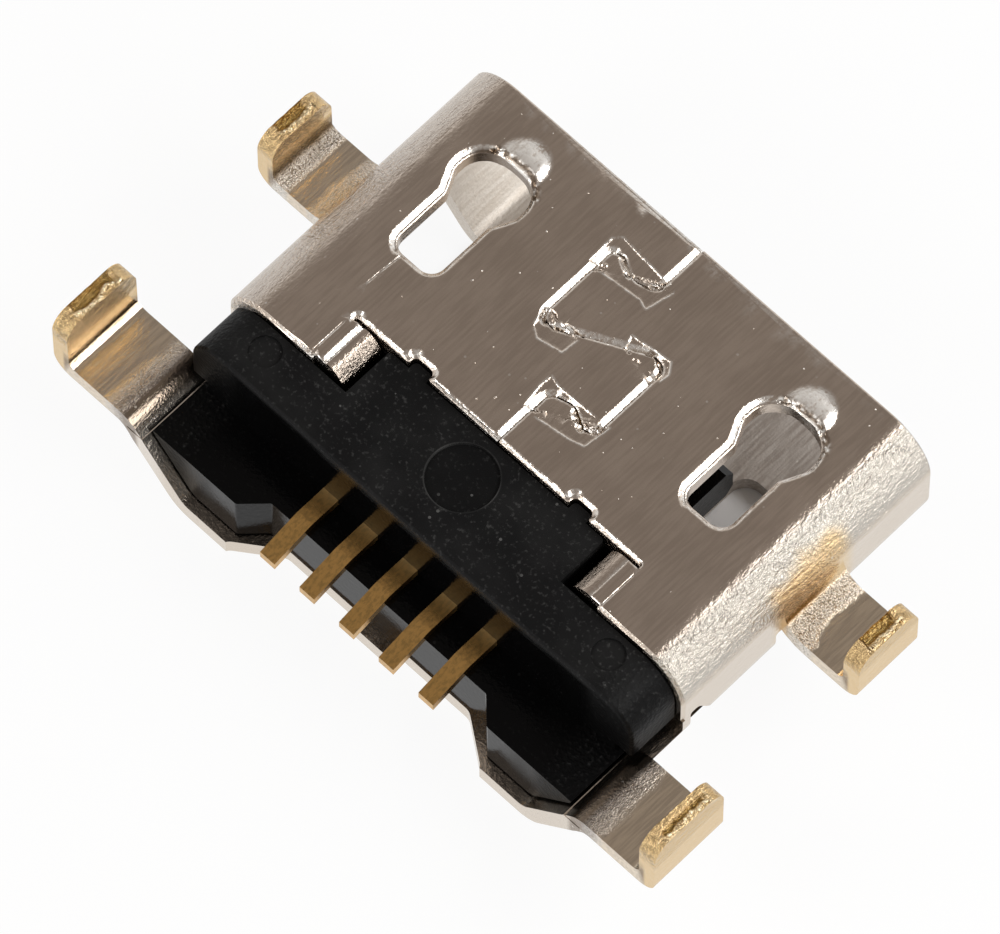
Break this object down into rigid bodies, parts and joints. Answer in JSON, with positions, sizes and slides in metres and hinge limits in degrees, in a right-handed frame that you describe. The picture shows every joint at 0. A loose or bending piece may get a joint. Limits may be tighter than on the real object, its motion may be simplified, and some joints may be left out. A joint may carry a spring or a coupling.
{
  "type": "charging port",
  "caption": "Small metal-shelled charging socket with a locked seam, latch windows, turned-up board legs and a row of flat solder tails.",
  "frame": {"origin": "outer face of the shell's flat floor, on the middle plane, level with the rear end of the side walls", "axes": "+X across the port, +Y from the mouth towards the solder tails, +Z from the narrow floor up to the wide top wall"},
  "size_m": [0.0098, 0.006, 0.0025],
  "materials": {
    "shell_metal": "satin",
    "black_plastic": "matte",
    "plated_contact": "satin"
  },
  "bodies": {
    "root": {"shell": "shell_metal", "housing": "black_plastic", "contact_1": "plated_contact", "contact_2": "plated_contact", "contact_3": "plated_contact", "contact_4": "plated_contact", "contact_5": "plated_contact"}
  },
  "joints": []
}
